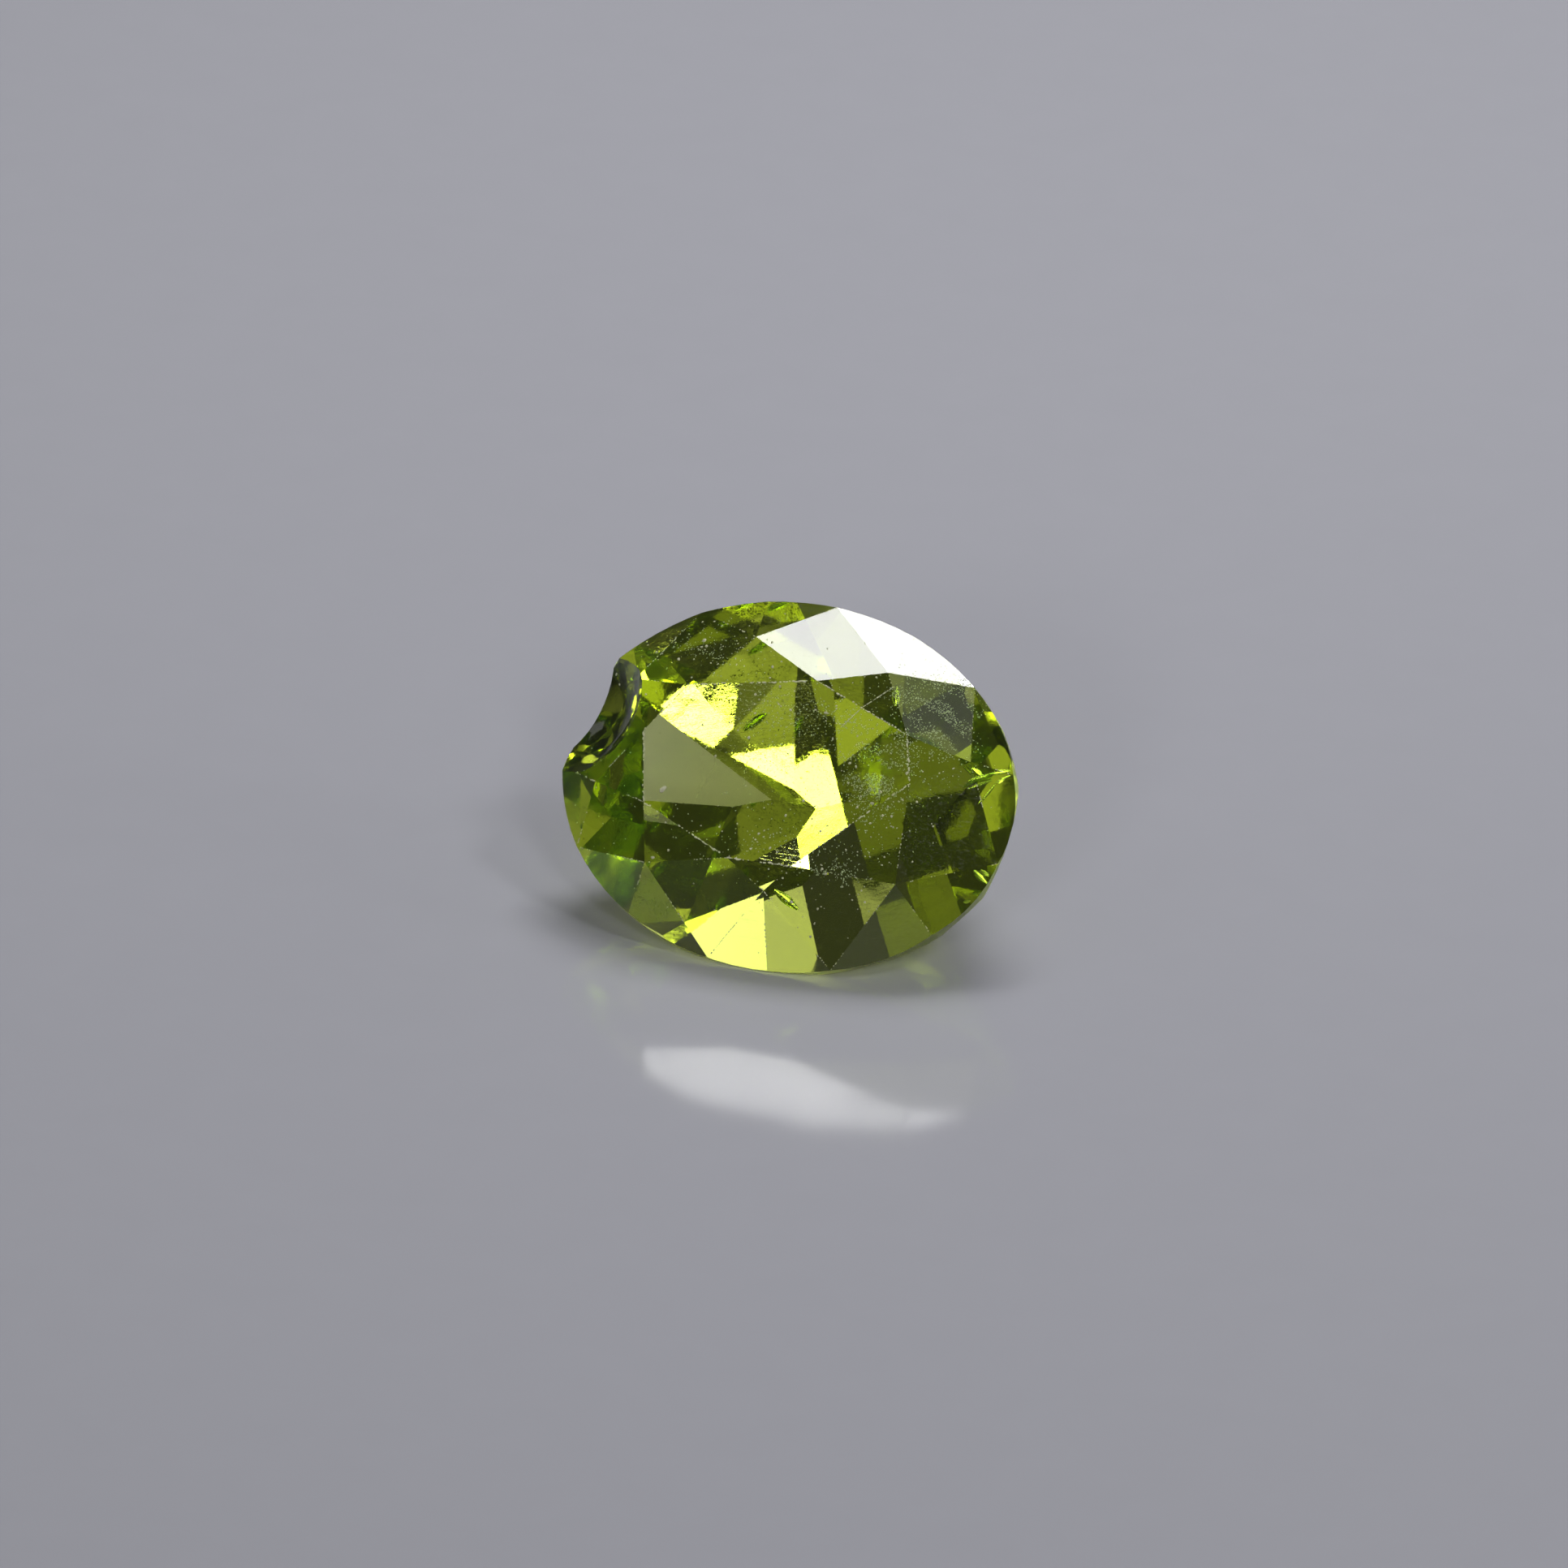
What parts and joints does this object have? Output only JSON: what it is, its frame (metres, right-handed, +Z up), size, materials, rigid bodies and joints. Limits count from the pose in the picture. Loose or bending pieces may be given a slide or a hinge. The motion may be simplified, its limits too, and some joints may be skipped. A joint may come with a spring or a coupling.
{
  "type": "faceted oval garnet",
  "caption": "Loose faceted oval garnet, clear olive to yellow-green, with a chipped left end, lying on one of its pavilion facets.",
  "frame": {"origin": "centre of the bounding box on the plane that the stone rests on", "axes": "+Z up from the facet it rests on, +X along the long axis of its oval outline, the table faces -Y and up"},
  "size_m": [0.0086, 0.0052, 0.0052],
  "materials": {
    "stone": "polished, with abraded facet edges, a frosted girdle and fine dust"
  },
  "bodies": {
    "root": {"garnet": "stone"}
  },
  "joints": []
}
